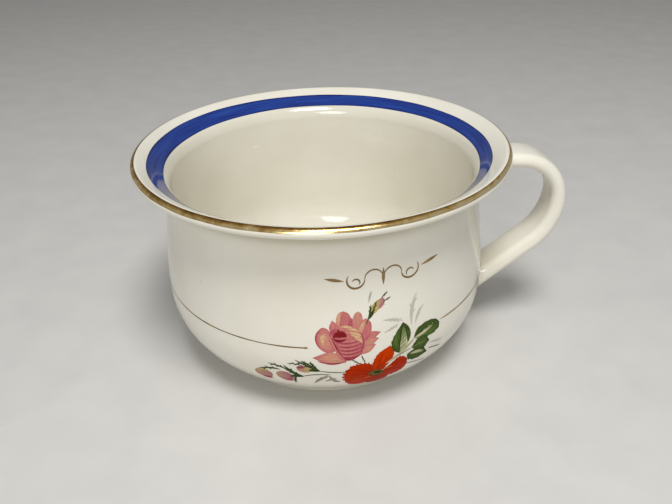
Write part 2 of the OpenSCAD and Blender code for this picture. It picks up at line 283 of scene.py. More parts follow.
dull = add(tree, "ShaderNodeMix", {0: wiped.outputs["Result"], 2: gloss.outputs["Result"], 3: 0.8},
           data_type="FLOAT")
peel = add(tree, "ShaderNodeTexNoise", {"Vector": place, "Scale": 1 / 0.006, "Detail": 1.0})
skin = add(tree, "ShaderNodeBump", {"Height": peel.outputs["Fac"], "Strength": 0.10, "Distance": 0.0004})
glaze_shader = tree.nodes["Principled BSDF"]
glaze_shader.inputs["IOR"].default_value = 1.52
tree.links.new(body.outputs[2], glaze_shader.inputs["Base Color"])
tree.links.new(dull.outputs[0], glaze_shader.inputs["Roughness"])
tree.links.new(skin.outputs["Normal"], glaze_shader.inputs["Normal"])

bowl = turned(section)
pooled_glaze_and_crease_shade = bowl.verts.layers.float.new("pooled_glaze_and_crease_shade")
for v in bowl.verts:
    here = Vector((math.hypot(v.co.x, v.co.y), v.co.z))
    v[pooled_glaze_and_crease_shade] = max(math.exp(-((here - crease).length / pool_and_shade_spread) ** 2) for crease in creases)
make_piece("bowl", bowl, glaze, "glazed_body", "bowl")

# Handle: a strap of the same clay, pulled by hand, bent while soft and stuck to neck and belly with slip,
# which was smoothed into a small fillet round both roots before the pot was glazed. Its lower run is
# fuller on the outside.
handle_w = 24.0
handle_t = 8.8
handle_drop = 17.8
handle_rise = 26.0
crown_r = 48.0
crown_turn = 33.5
bend_r = 25.0
bend_turn = 84.0
back_r = 40.0
root_z = 35.5
slip_w = 2.6
slip_l = 6.0
slip_pool_and_shade = 0.7
tail = 10.0
run_steps = 56
fullness = 1.6
full_below = 100.0
full_fade = 15.0
low_out = Vector((0.3, 0, -0.95))


def wall_reach(z):
    """Outer radius of the wall at a height, from the foot ring to the neck."""
    if z < belly_z:
        return belly_r - belly_round * (1 - math.sqrt(max(0.0, 1 - ((belly_z - z) / belly_drop) ** 2)))
    risen = min(1.0, (z - belly_z) / (neck_z - belly_z))
    return belly_r - (belly_r - neck_r) * (1 - math.cos(math.pi * risen)) / 2


def bend_centre(point, heading, radius):
    """Centre of a bend that turns the strap downwards from a point and a heading in degrees."""
    a = math.radians(heading)
    return point + radius * Vector((math.sin(a), -math.cos(a)))


def bend_end(point, heading, radius, angle):
    """Point that the strap reaches after turning through an angle in degrees."""
    a = math.radians(heading - angle)
    return bend_centre(point, heading, radius) + radius * Vector((-math.sin(a), math.cos(a)))


strap_start = Vector((neck_r, pot_h - handle_drop))
crown_end = bend_end(strap_start, handle_rise, crown_r, crown_turn)
outer_end = bend_end(crown_end, handle_rise - crown_turn, bend_r, bend_turn)
outer_heading = handle_rise - crown_turn - bend_turn
back_c = bend_centre(outer_end, outer_heading, back_r)
to_root = Vector((wall_reach(root_z), root_z)) - back_c
run_l = math.sqrt(to_root.length_squared - back_r ** 2)
leave = math.degrees(math.atan2(to_root.y, to_root.x) + math.atan2(run_l, back_r))
back_turn = (outer_heading + 90 - leave) % 360
root_heading = math.radians(outer_heading - back_turn)

strap = bmesh.new()
tail_turn = math.degrees(tail / crown_r)
tail_end = bend_end(strap_start, handle_rise, crown_r, -tail_turn)
facing = Matrix.Rotation(math.radians(90 - handle_rise - tail_turn), 4, "Y")
ring = bmesh.ops.create_circle(strap, segments=48, radius=handle_t / 2)["verts"]
for v in ring:
    v.co.y += math.copysign((handle_w - handle_t) / 2, v.co.y) if abs(v.co.y) > 1e-6 else 0.0
bmesh.ops.transform(strap, matrix=Matrix.Translation((tail_end.x, 0, tail_end.y)) @ facing, verts=ring)
last = ring + list(strap.edges)
first_edges = list(strap.edges)
for point, heading, radius, angle, steps in (
        (tail_end, handle_rise + tail_turn, crown_r, crown_turn + tail_turn, 44),
        (crown_end, handle_rise - crown_turn, bend_r, bend_turn, 40),
        (outer_end, outer_heading, back_r, back_turn, 36)):
    centre = bend_centre(point, heading, radius)
    last = bmesh.ops.spin(strap, geom=last, axis=(0, 1, 0), cent=(centre.x, 0, centre.y),
                          angle=math.radians(angle), steps=steps)["geom_last"]
run_step = (run_l + tail) / run_steps * Vector((math.cos(root_heading), 0, math.sin(root_heading)))
last = bmesh.ops.spin(strap, geom=last, axis=(0, 1, 0), dvec=run_step, angle=0,
                      steps=run_steps)["geom_last"]
for rim in (first_edges, [e for e in last if isinstance(e, bmesh.types.BMEdge)]):
    bmesh.ops.holes_fill(strap, edges=rim, sides=0)
bmesh.ops.recalc_face_normals(strap, faces=strap.faces)

# Both ends stop in the middle of the wall, the lower run swells, and slip widens the strap at its roots.
for v in strap.verts:
    reach = math.hypot(v.co.x, v.co.y)
    push = max(1.0, (wall_reach(v.co.z) - wall / 2) / reach)
    v.co.x *= push
    v.co.y *= push
strap.normal_update()
for v in strap.verts:
    lowness = min(1.0, max(0.0, (full_below - v.co.z) / full_fade))
    v.co += fullness * lowness * max(0.0, v.normal.dot(low_out)) * v.normal
strap.normal_update()
# Greyer near both roots: partly glaze gathered on the slip fillet, partly painted shade at the joint.
strap_pool_and_shade = strap.verts.layers.float.new("pooled_glaze_and_crease_shade")
wall_line = outer_wall + under_rim + lip_outside[:10]
spread = {}
for v in strap.verts:
    here = Vector((math.hypot(v.co.x, v.co.y), v.co.z))
    gap = min((here - p).length for p in wall_line)
    share = max(0.0, 1 - gap / slip_l)
    spread[v] = slip_w * (1 - math.sqrt(1 - share ** 2))
    v[strap_pool_and_shade] = slip_pool_and_shade * share ** 2
for v, push in spread.items():
    v.co += push * v.normal
make_piece("handle", strap, glaze, "glazed_body", "handle", "upper_slip_seam", "lower_slip_seam")

# Blue band: cobalt enamel laid on the flared rim with a broad brush while the pot turned, so it is paler
# in its middle, darker where the colour gathered along both edges, and a little off centre.
band_in = -0.1
band_w = 9.8
inner_shift = 0.98
outer_shift = 1.4
shift_at = -0.25
waver = 0.1
band_film = 0.06
lanes = 16
slope_start = throat_c + throat_round * off_slope
slope_l = (flare_c - throat_c).dot(up_slope)


def on_flange(run):
    """Place on the rim's upper face, a distance up from the end of the throat's round by slope and flare.

    A distance a little below 0 carries the slope on over the round.
    """
    if run < slope_l:
        return slope_start + run * up_slope + band_film * off_slope
    a = math.radians(flare_from) - (run - slope_l) / flare_round
    return flare_c + (flare_round + band_film) * Vector((math.cos(a), math.sin(a)))


# A flat ring is turned first, and each of its points is then laid on the flange.
band = turned([Vector((rim_r + i, 0)) for i in range(lanes + 1)], 240)
across = band.verts.layers.float.new("across")
for v in band.verts:
    share = (math.hypot(v.co.x, v.co.y) - rim_r) / lanes
    around = math.atan2(v.co.y, v.co.x)
    inner = band_in + inner_shift * math.sin(around)
    inner += waver * (math.sin(3 * around + 0.5) + 0.6 * math.sin(11 * around))
    outer = band_in + band_w - outer_shift * math.cos(around - shift_at)
    outer += waver * (1.2 * math.sin(5 * around + 2) + 0.6 * math.sin(17 * around))
    spot = on_flange(inner + (outer - inner) * share)
    v[across] = share
    v.co = (spot.x * math.cos(around), spot.x * math.sin(around), spot.y)

# Fired cobalt enamel: deep blue under the gloss, with brush lines about 1 mm apart round the rim.
cobalt = bpy.data.materials.new("fired_cobalt_enamel")
cobalt.use_nodes = True
tree = cobalt.node_tree
place = add(tree, "ShaderNodeTexCoord").outputs["Object"]
flat = add(tree, "ShaderNodeVectorMath", {0: place, 1: (1, 1, 0)}, operation="MULTIPLY")
reach = add(tree, "ShaderNodeVectorMath", {0: flat.outputs["Vector"]}, operation="LENGTH")
lines = add(tree, "ShaderNodeMath", {0: reach.outputs["Value"], 1: 1 / 0.0009}, operation="MULTIPLY")
slow = add(tree, "ShaderNodeVectorMath", {0: flat.outputs["Vector"], 3: 1 / 0.03}, operation="SCALE")
slow_xy = add(tree, "ShaderNodeSeparateXYZ", {"Vector": slow.outputs["Vector"]})
sweep = add(tree, "ShaderNodeCombineXYZ", {"X": slow_xy.outputs["X"], "Y": slow_xy.outputs["Y"],
                                           "Z": lines.outputs["Value"]})
streak = add(tree, "ShaderNodeTexNoise", {"Vector": sweep.outputs["Vector"], "Scale": 1.0, "Detail": 3.0})
share = add(tree, "ShaderNodeAttribute", attribute_name="across")
middle = add(tree, "ShaderNodeMath", {0: share.outputs["Fac"], 1: 0.5}, operation="SUBTRACT")
off_middle = add(tree, "ShaderNodeMath", {0: middle.outputs["Value"]}, operation="ABSOLUTE")
edge = add(tree, "ShaderNodeMapRange", {"Value": off_middle.outputs["Value"], "From Min": 0.36,
                                        "From Max": 0.48, "To Min": 0.0, "To Max": -0.35})
depth = add(tree, "ShaderNodeMath", {0: streak.outputs["Fac"], 1: edge.outputs["Result"]},
            operation="ADD")
blue = add(tree, "ShaderNodeValToRGB", {"Fac": depth.outputs["Value"]},
           [(0.1, "#111F5A"), (0.42, "#18327F"), (0.7, "#234493")])
cobalt_shader = tree.nodes["Principled BSDF"]
cobalt_shader.inputs["IOR"].default_value = 1.52
cobalt_shader.inputs["Roughness"].default_value = 0.11
tree.links.new(blue.outputs["Color"], cobalt_shader.inputs["Base Color"])
make_piece("blue_band", band, cobalt, "blue_enamel", "blue_band")

# Gilt rim line: liquid gold brushed over the outer side and crown of the lip and fired. It is rubbed
# through in places where hands and cloths wore it.
gilt_low = 30.0
low_swing = 11.0
gilt_high = 76.0
high_swing = 13.0
high_at = 1.2
gilt_film = 0.06
gilt = turned([Vector((rim_r + i, 0)) for i in range(lanes + 1)], 360)
across = gilt.verts.layers.float.new("across")
for v in gilt.verts:
    share = (math.hypot(v.co.x, v.co.y) - rim_r) / lanes
    around = math.atan2(v.co.y, v.co.x)
    low = gilt_low + low_swing * math.sin(around)
    low += 2 * math.sin(4 * around + 1) + 1.5 * math.sin(23 * around)
    high = gilt_high - high_swing * math.cos(around - high_at) + 1.5 * math.sin(9 * around)
    v[across] = share
    angle = math.radians(low + (high - low) * share)
    spot = lip_c + (lip_r + gilt_film) * Vector((math.cos(angle), math.sin(angle)))
    v.co = (spot.x * math.cos(around), spot.x * math.sin(around), spot.y)

# The ring's outer edge now lies innermost on the lip, so its faces are turned to point outwards again.
bmesh.ops.reverse_faces(gilt, faces=gilt.faces)

# Burnished liquid gold: a pale, warm metal mirror that is soft with fine rubbing, with the glaze showing
# through its worn places. Its colour is painted browner towards its upper edge, a painted reflection, and
# paler on the handle's side, a painted highlight.
gold = bpy.data.materials.new("burnished_liquid_gold")
gold.use_nodes = True
tree = gold.node_tree
place = add(tree, "ShaderNodeTexCoord").outputs["Object"]
rub = add(tree, "ShaderNodeTexNoise", {"Vector": place, "Scale": 1 / 0.006, "Detail": 5.0,
                                       "Roughness": 0.65})
share = add(tree, "ShaderNodeAttribute", attribute_name="across")
# Painted reflection: the tone is raised along the lower edge of the line and lowered towards its upper
# edge.
edge = add(tree, "ShaderNodeMapRange", {"Value": share.outputs["Fac"], "From Min": 0.3, "From Max": 0.9,
                                        "To Min": 0.12, "To Max": -0.28})
depth = add(tree, "ShaderNodeMath", {0: rub.outputs["Fac"], 1: edge.outputs["Result"]}, operation="ADD")
# Painted highlight: the gold is made paler on the handle's side, towards +X.
side = add(tree, "ShaderNodeSeparateXYZ", {"Vector": place})
handle_side_highlight = add(tree, "ShaderNodeMapRange", {"Value": side.outputs["X"], "From Min": 0.02, "From Max": 0.1,
                                           "To Min": 0.0, "To Max": 0.25})
thin = add(tree, "ShaderNodeMath", {0: depth.outputs["Value"], 1: handle_side_highlight.outputs["Result"]},
           operation="ADD")
tone = add(tree, "ShaderNodeValToRGB", {"Fac": thin.outputs["Value"]},
           [(0.15, "#74501F"), (0.4, "#B98A42"), (0.65, "#F2D594"), (0.85, "#F6E4B8")])
bare = add(tree, "ShaderNodeMapRange", {"Value": rub.outputs["Fac"], "From Min": 0.70, "From Max": 0.80})
worn = add(tree, "ShaderNodeMix", {0: bare.outputs["Result"], 6: tone.outputs["Color"],
                                   7: linear("#D9CDB0")}, data_type="RGBA")
metal = add(tree, "ShaderNodeMapRange", {"Value": bare.outputs["Result"], "To Min": 0.85, "To Max": 0.0})
gold_shader = tree.nodes["Principled BSDF"]
gold_shader.inputs["Roughness"].default_value = 0.2
tree.links.new(worn.outputs[2], gold_shader.inputs["Base Color"])
tree.links.new(metal.outputs["Result"], gold_shader.inputs["Metallic"])
make_piece("gilt_rim_line", gilt, gold, "gilding", "gilt_rim_line")

# Gilt belly line: one turn of a fine brush on the wheel, lifted off on either side of the spray. The gold
# is thin and has gone brown, with a small drop where the brush came to rest on the left.
line_z = 53.7
line_w = 0.8
line_gap_from = -6.0
line_gap_to = 39.0
line_film = 0.05
taper_l = 8.0
drop_w = 0.75
drop_l = 0.8
drop_at = 0.9
drop_end = 0.7
line = bmesh.new()
line_turn = 360 + line_gap_from - line_gap_to
start = math.radians(line_gap_to - 90)
brush_tip = [line.verts.new((math.cos(start), math.sin(start), i / 4 - 0.5)) for i in range(5)]
brush_tip += [line.edges.new(pair) for pair in zip(brush_tip, brush_tip[1:])]
bmesh.ops.spin(line, geom=brush_tip, axis=(0, 0, 1), cent=(0, 0, 0), angle=math.radians(line_turn),
               steps=400)
for v in line.verts:
    swept = (math.degrees(math.atan2(v.co.y, v.co.x)) - line_gap_to + 90) % 360
    swept = 0.0 if swept > line_turn + 5 else swept
    left = (line_turn - swept) * math.radians(belly_r)
    begun = swept * math.radians(belly_r)
    tremble = 1 + 0.18 * math.sin(swept / 7) + 0.12 * math.sin(swept / 2.3)
    width = line_w * min(1.0, 0.35 + begun / taper_l) * tremble
    width += drop_w * math.exp(-((left - drop_at) / drop_l) ** 2)
    width *= math.sqrt(min(1.0, left / drop_end))
    z = line_z + v.co.z * width + 0.12 * math.sin(swept / 23) + 0.05 * math.sin(swept / 5)
    out = wall_reach(z) + line_film
    around = math.atan2(v.co.y, v.co.x)
    v.co = (out * math.cos(around), out * math.sin(around), z)
bmesh.ops.recalc_face_normals(line, faces=line.faces)

# Thin tarnished gold: brown where it is rubbed almost away, a dull yellow metal where it is not.
thin_gold = bpy.data.materials.new("thin_rubbed_gold")
thin_gold.use_nodes = True
tree = thin_gold.node_tree
place = add(tree, "ShaderNodeTexCoord").outputs["Object"]
rub = add(tree, "ShaderNodeTexNoise", {"Vector": place, "Scale": 1 / 0.012, "Detail": 4.0})
tone = add(tree, "ShaderNodeValToRGB", {"Fac": rub.outputs["Fac"]},
           [(0.3, "#7A6442"), (0.55, "#8E7448"), (0.75, "#B0965E")])
thin_shader = tree.nodes["Principled BSDF"]
thin_shader.inputs["Metallic"].default_value = 0.5
thin_shader.inputs["Roughness"].default_value = 0.35
tree.links.new(tone.outputs["Color"], thin_shader.inputs["Base Color"])
make_piece("gilt_belly_line", line, thin_gold, "gilding", "gilt_belly_line")

# Rose: the middle of the spray, printed in enamels from a transfer sheet and touched in by brush. A loose
# cup of petals with a crimson heart, and pale petals opening behind it.
film_lift = 0.04
film_step = 0.012
grain_l = 15.0
grain_step = 3.0


def curve(*points):
    """Path of a brush mark, a smooth curve from the first point to the last drawn towards the others."""
    def path(t):
        row = [Vector(p) for p in points]
        while len(row) > 1:
            row = [a.lerp(b, t) for a, b in zip(row, row[1:])]
        return row[0]
    return path


def through(*points):
    """Edge of a petal or leaf, a smooth curve that passes through every point."""
    knots = [Vector(p) for p in points]
    knots = [2 * knots[0] - knots[1]] + knots + [2 * knots[-1] - knots[-2]]

    def path(t):
        i = min(int(t * (len(knots) - 3)), len(knots) - 4)
        u = t * (len(knots) - 3) - i
        a, b, c, d = knots[i:i + 4]
        bend = (2 * a - 5 * b + 4 * c - d) * u ** 2 + (3 * b - a - 3 * c + d) * u ** 3
        return b + ((c - a) * u + bend) / 2
    return path


def mark(bm, edges, shade, layer, steps=22):
    """Lays one mark of enamel between two edges, in millimetres to the right of the front and up.

    shade is its tone at the root, middle and tip, and how much that changes towards its sides. The grain
    of the streaks follows the mark and starts at another place on each.
    """
    tones = bm.verts.layers.float.get("shade") or bm.verts.layers.float.new("shade")
    grains = bm.verts.layers.float_vector.get("grain") or bm.verts.layers.float_vector.new("grain")
    grid = bmesh.ops.create_grid(bm, x_segments=steps, y_segments=8, size=0.5)["verts"]
    rungs = [edges(i / steps) for i in range(steps + 1)]
    grain_place = grain_step * layer + rungs[steps // 2][0].x
    root, middle, tip, side = shade
    for v in grid:
        t = v.co.x + 0.5
        off = 2 * v.co.y
        left, right = rungs[round(t * steps)]
        spot = left.lerp(right, v.co.y + 0.5)
        tone = root * (1 - t) * (1 - 2 * t) + 4 * middle * t * (1 - t) + tip * t * (2 * t - 1)
        v[tones] = tone + side * off ** 2
        v[grains] = (grain_l * t, v.co.y * (right - left).length, grain_place)
        v.co = (spot.x, film_lift + film_step * layer, spot.y)
    bmesh.ops.remove_doubles(bm, verts=grid, dist=0.002)


def brush(bm, path, width, shade, layer, blunt=0.6):
    """Lays one stroke of a brush along a path, thinner where the brush came down and was lifted off."""
    def edges(t):
        ahead = (path(min(1.0, t + 0.01)) - path(max(0.0, t - 0.01))).normalized()
        half = width / 2 * math.sin(math.pi * t) ** blunt if 0 < t < 1 else 0.0
        aside = half * Vector((-ahead.y, ahead.x))
        return path(t) + aside, path(t) - aside
    mark(bm, edges, shade, layer)


def petal(bm, left, right, shade, layer, teeth=0, bite=0.0):
    """Lays one petal or leaf between the points of its left and right edges, which may be toothed."""
    left_edge = through(*left)
    right_edge = through(*right)

    def edges(t):
        a = left_edge(t)
        b = right_edge(t)
        swell = 0.5 + bite * ((teeth * t) % 1 - 0.5)
        return b.lerp(a, 0.5 + swell), a.lerp(b, 0.5 + swell)
    mark(bm, edges, shade, layer, 6 * teeth or 22)


def lay_on_wall(bm):
    """Wraps a drawing of enamel marks round the belly's front, with every face turned outwards."""
    for v in bm.verts:
        angle = v.co.x / belly_r
        out = wall_reach(v.co.z) + v.co.y
        v.co = (out * math.sin(angle), -out * math.cos(angle), v.co.z)
    bm.normal_update()
    for face in bm.faces:
        middle = face.calc_center_median()
        if face.normal.x * middle.x + face.normal.y * middle.y < 0:
            face.normal_flip()
    return bm


def enamel(name, stops):
    """Fired transfer enamel: brush-streaked colour, from its first stop to its last with the shade.

    It shines much less than the glaze that it was fired into, so its IOR is low.
    """
    paint = bpy.data.materials.new(name)
    paint.use_nodes = True
    tree = paint.node_tree
    tone = add(tree, "ShaderNodeAttribute", attribute_name="shade")
    grain = add(tree, "ShaderNodeAttribute", attribute_name="grain")
    hairs = add(tree, "ShaderNodeVectorMath", {0: grain.outputs["Vector"], 1: (0.25, 1.6, 1.0)},
                operation="MULTIPLY")
    streak = add(tree, "ShaderNodeTexNoise", {"Vector": hairs.outputs["Vector"], "Scale": 1.0,
                                              "Detail": 3.0})
    uneven = add(tree, "ShaderNodeMapRange", {"Value": streak.outputs["Fac"], "To Min": -0.3,
                                              "To Max": 0.3})
    total = add(tree, "ShaderNodeMath", {0: tone.outputs["Fac"], 1: uneven.outputs["Result"]},
                operation="ADD")
    colour = add(tree, "ShaderNodeValToRGB", {"Fac": total.outputs["Value"]}, stops)
    shader = tree.nodes["Principled BSDF"]
    shader.inputs["IOR"].default_value = 1.07
    shader.inputs["Roughness"].default_value = 0.3
    tree.links.new(colour.outputs["Color"], shader.inputs["Base Color"])
    return paint


# Petals that open behind the cup, above it and to its right.
rose = bmesh.new()
petal(rose, ((3, 60), (0.8, 66), (2.4, 70.6)), ((6.5, 60), (5.4, 67), (2.4, 70.6)),
      (0.5, 0.64, 0.66, -0.12), 0)
petal(rose, ((6.5, 62), (4.6, 69.5), (5.6, 74), (8.4, 75.4)),
      ((10.5, 62), (12.2, 69), (11.4, 73.4), (8.4, 75.4)), (0.5, 0.58, 0.6, 0), 1)
brush(rose, curve((5.8, 65.5), (4.8, 71), (7, 74.8)), 2.2, (0.7, 0.86, 0.84, -0.05), 2)
petal(rose, ((10.5, 62), (10.8, 68), (12.4, 71.4)), ((14, 62), (14, 68), (12.4, 71.4)),
      (0.4, 0.44, 0.5, -0.1), 1)
petal(rose, ((13.4, 61), (13, 69), (14.2, 73), (16.2, 74.4)),
      ((18, 61), (18.6, 68), (18, 72.4), (16.2, 74.4)), (0.6, 0.78, 0.8, -0.12), 2)
petal(rose, ((16, 55), (16.4, 63), (17.6, 68), (20.2, 69.8)),
      ((18.5, 54), (22.6, 60), (23, 66.4), (20.2, 69.8)), (0.5, 0.6, 0.66, -0.08), 3)
brush(rose, curve((17.2, 61), (17.6, 65.5), (19.6, 68.6)), 2.4, (0.8, 0.9, 0.8, -0.05), 4)
petal(rose, ((17, 58), (23, 61.2), (28.4, 60)), ((17, 55.5), (23.5, 56.4), (28.4, 60)),
      (0.55, 0.66, 0.5, -0.1), 2)
petal(rose, ((17, 55), (23, 57.6), (27.4, 56.4)), ((17, 52), (23, 53), (27.4, 56.4)),
      (0.6, 0.78, 0.54, -0.12), 3)
petal(rose, ((16.5, 51.5), (22, 54), (25.6, 52.8)), ((16.5, 47.5), (22, 48.6), (25.6, 52.8)),
      (0.6, 0.78, 0.6, -0.12), 2)

# Petals at the left of the cup and below it.
petal(rose, ((3.4, 60), (0, 65.2), (-3.6, 66), (-6.6, 60.4)),
      ((6, 53), (0.5, 50.4), (-4.4, 53.6), (-6.6, 60.4)), (0.55, 0.78, 0.46, -0.2), 2)
brush(rose, curve((-1.4, 62.6), (-3.6, 60), (-2.6, 55.6)), 2.4, (0.86, 0.95, 0.86, -0.06), 3)
brush(rose, curve((-2.6, 66), (-7.4, 63.6), (-7.2, 57), (-3.6, 52.8)), 0.9, (0.42, 0.36, 0.4, 0), 3)
petal(rose, ((9.5, 47), (1, 51), (-8.4, 47.5)), ((9.5, 43.6), (0.8, 42.3), (-8.4, 47.5)),
      (0.6, 0.8, 0.5, -0.14), 4)
brush(rose, curve((-6, 45.2), (1, 41.8), (9.6, 44)), 0.9, (0.3, 0.2, 0.25, 0), 5)

# The cup, its folds, and the light and dark along its edges.
petal(rose, ((11.5, 44.4), (6.6, 46.4), (3.4, 52), (0.2, 60.6), (5, 66.8)),
      ((11.5, 44.4), (17.2, 47.8), (19.4, 55.5), (17.2, 62), (12.5, 66.2)), (0.3, 0.5, 0.62, -0.05), 5)
for rise in (57.4, 55, 52.6, 50.2, 48):
    left = 4.4 + (58 - rise) / 4
    brush(rose, curve((left, rise + 0.8), (11, rise - 1.8), (18, rise + 1.2)), 0.9,
          (0.6, 0.7, 0.6, 0), 6, 0.4)
    brush(rose, curve((left, rise - 0.4), (11, rise - 3), (17.6, rise)), 0.8, (0.3, 0.3, 0.34, 0), 6, 0.4)
brush(rose, curve((6.6, 47.2), (11, 43.6), (16, 47.6)), 2.2, (0.3, 0.26, 0.3, 0), 6)
for touch, pull, lift in (
        ((6, 66.2), (10, 67), (13.6, 64.8)), ((9.4, 64.6), (13.4, 65), (17, 61.8)),
        ((9.8, 62.8), (14, 62.4), (18, 59.4)), ((11.5, 61), (15.4, 60.2), (18.8, 57)),
        ((13.6, 59.2), (16.6, 58), (19, 54.4))):
    brush(rose, curve(touch, pull, lift), 1.6, (0.8, 0.94, 0.84, -0.1), 7)
brush(rose, curve((-0.2, 61.6), (3.5, 56), (3.6, 50), (8.8, 45.2)), 1.3, (0.66, 0.7, 0.6, 0), 7, 0.4)
brush(rose, curve((1.2, 60.6), (4.2, 55.6), (4.6, 50), (9, 46)), 0.8, (0.25, 0.2, 0.25, 0), 8)
brush(rose, curve((17, 61.6), (20.2, 56), (17, 48.6)), 0.8, (0.4, 0.3, 0.3, 0), 8)

# The crimson heart.
brush(rose, curve((0.8, 61.6), (2.4, 63.8), (4.6, 64.8)), 2.4, (0.42, 0.36, 0.4, 0), 8)
brush(rose, curve((2.6, 60.2), (6.4, 63.8), (9.8, 60)), 4.2, (0.14, 0.0, 0.06, 0.08), 8)
brush(rose, curve((2.2, 60), (5.8, 56.2), (9.8, 59)), 1.8, (0.2, 0.06, 0.2, 0), 9)
brush(rose, curve((4.8, 64), (5.4, 64.8), (6.2, 64.4)), 1.2, (0.1, 0.1, 0.2, 0), 9)
make_piece("rose_print", lay_on_wall(rose), enamel("rose_pink_enamel", [
    (0.0, "#781A1C"), (0.15, "#8E2C36"), (0.32, "#A64A58"), (0.46, "#B45E66"), (0.6, "#BF706E"),
    (0.74, "#C58676"), (0.88, "#CB9E78"), (1.0, "#D8BE94")]), "pink_enamel", "rose_print")

# Poppy: four broad orange petals below the rose, printed flat and strong in enamel from the same sheet,
# with short strokes that fringe the left one, round a speckled olive eye.
poppy = bmesh.new()
petal(poppy, ((25, 29), (22, 22.5), (24.6, 17), (30, 14.8)),
      ((29.5, 28), (36, 23), (35.6, 17.5), (30, 14.8)), (0.3, 0.36, 0.3, 0), 0)
petal(poppy, ((27.5, 31.5), (22.6, 39.8), (15.4, 41), (10.2, 37.4), (8.8, 31)),
      ((27, 27), (21.7, 18.5), (14.5, 19), (9.8, 24), (8.8, 31)), (0.45, 0.55, 0.5, -0.05), 1, 13, 0.07)
petal(poppy, ((29, 29.5), (34.9, 35.6), (39.8, 39.8), (44.8, 36.6), (46.4, 31)),
      ((29, 26.6), (33.2, 24.6), (38.7, 22.4), (44.8, 25.4), (46.4, 31)),
      (0.45, 0.5, 0.45, -0.05), 1, 9, 0.08)
petal(poppy, ((25.6, 31), (23.8, 38), (26.4, 45.6), (33.6, 49.8)),
      ((29.4, 30.4), (33.8, 37), (36.2, 43.6), (33.6, 49.8)), (0.5, 0.68, 0.62, -0.06), 2, 9, 0.05)
for end in ((11.6, 40), (8.8, 36.8), (7.4, 33.8), (7, 30.6), (7.6, 27.4), (9.2, 24), (12, 20.6)):
    brush(poppy, curve((17, 30.5), end), 3.2, (0.5, 0.55, 0.48, -0.05), 1, 0.4)
for end in ((12, 37), (10.5, 32), (12, 26), (43, 35), (43, 29), (30, 46), (33.6, 43)):
    bow = ((25.8 + end[0]) / 2, (31 + end[1]) / 2 + 1)
    brush(poppy, curve((25.8, 31), bow, end), 0.6, (0.25, 0.36, 0.42, 0), 3)
for touch, pull, lift in (
        ((20.6, 27.4), (22.6, 26.6), (24.4, 27.6)), ((31, 31.4), (34, 33.4), (37, 32.8))):
    brush(poppy, curve(touch, pull, lift), 0.8, (0.95, 1.0, 0.95, 0), 3)
make_piece("poppy_print", lay_on_wall(poppy), enamel("poppy_orange_enamel", [
    (0.0, "#5E0E00"), (0.25, "#8E1A00"), (0.5, "#B02A00"), (0.75, "#C83E02"), (1.0, "#D87434")]),
    "orange_enamel", "poppy_print")

eye = bmesh.new()
eye_at = Vector((26.8, 29.6))
spokes = 11
brush(eye, curve((22.4, 30.4), (26.6, 32), (31, 27.4)), 6.4, (0.4, 0.6, 0.35, -0.3), 4, 0.5)
brush(eye, curve((25.4, 30.4), (27.4, 31.6), (29.4, 29.4)), 2.4, (0.1, 0.0, 0.1, 0), 5, 0.5)
for i in range(spokes):
    spoke = Vector((math.cos(i * math.tau / spokes), 0.75 * math.sin(i * math.tau / spokes)))
    brush(eye, curve(eye_at + 2.4 * spoke, eye_at + 4.2 * spoke), 0.6, (0.1, 0.1, 0.9, 0), 5)
make_piece("poppy_eye", lay_on_wall(eye), enamel("olive_enamel", [
    (0.0, "#2C2A10"), (0.5, "#716029"), (1.0, "#A89452")]), "green_enamel", "poppy_print")

# Leaves: four toothed rose leaves on a pale stalk to the right of the flowers, printed in green enamel.
# The two larger ones have a dark half and a paler one, and the upright leaf shows its veins.
leaf = bmesh.new()
brush(leaf, curve((31.6, 37), (40, 41.4), (48.6, 49.4)), 1.7, (1.0, 0.9, 0.85, 0), 3, 0.3)
upright_rib = ((39.3, 42.6), (39.2, 47), (39.5, 51.5), (40, 56), (41.2, 62.4))
petal(leaf, ((39.3, 42.6), (35.4, 45.6), (34.2, 51), (36.8, 56.6), (41.2, 62.4)), upright_rib,
      (0.2, 0.42, 0.25, -0.1), 4, 7, 0.12)
petal(leaf, upright_rib, ((39.3, 42.6), (43.4, 46), (45.4, 51.5), (44.4, 57.4), (41.2, 62.4)),
      (0.8, 0.86, 0.2, -0.15), 4, 7, 0.12)
brush(leaf, curve((44.2, 48.6), (46, 55), (41.6, 61.6)), 2.8, (0.3, 0.34, 0.25, 0), 5)
brush(leaf, through(*upright_rib), 0.7, (0.1, 0.15, 0.1, 0), 6)
for rib, edge in (((39.4, 45.6), (43, 48.4)), ((39.5, 48), (43.4, 51.6)), ((39.6, 50.4), (43.2, 54.6)),
                  ((39.8, 53), (42.8, 57))):
    brush(leaf, curve(rib, edge), 0.5, (0.3, 0.4, 0.5, 0), 6)
slanting_rib = ((48, 49.8), (53, 51.4), (58, 53.4), (62, 54), (66.4, 52.6))
petal(leaf, ((48, 49.8), (50.4, 55), (56.9, 57.2), (63, 56), (66.4, 52.6)), slanting_rib,
      (0.25, 0.36, 0.25, -0.08), 4, 6, 0.1)
petal(leaf, slanting_rib, ((48, 49.8), (51, 48), (58.7, 46.6), (65.6, 48.6), (66.4, 52.6)),
      (0.9, 0.5, 0.3, -0.1), 4, 6, 0.1)
brush(leaf, curve((49, 49.8), (54, 50.4), (61, 53)), 1.8, (0.95, 1.0, 0.8, 0), 5)
petal(leaf, ((46.8, 43.4), (50.4, 48), (55.6, 48.6), (59.4, 43.4)),
      ((46.8, 43.4), (51, 40.6), (56, 39.6), (59.4, 43.4)), (0.25, 0.4, 0.25, -0.1), 5, 5, 0.1)
petal(leaf, ((44.6, 39.4), (49.5, 41.8), (55, 40.6), (59.8, 34)),
      ((44.6, 39.4), (46.2, 34.4), (52.6, 32), (59.8, 34)), (0.3, 0.42, 0.25, -0.15), 4, 5, 0.1)
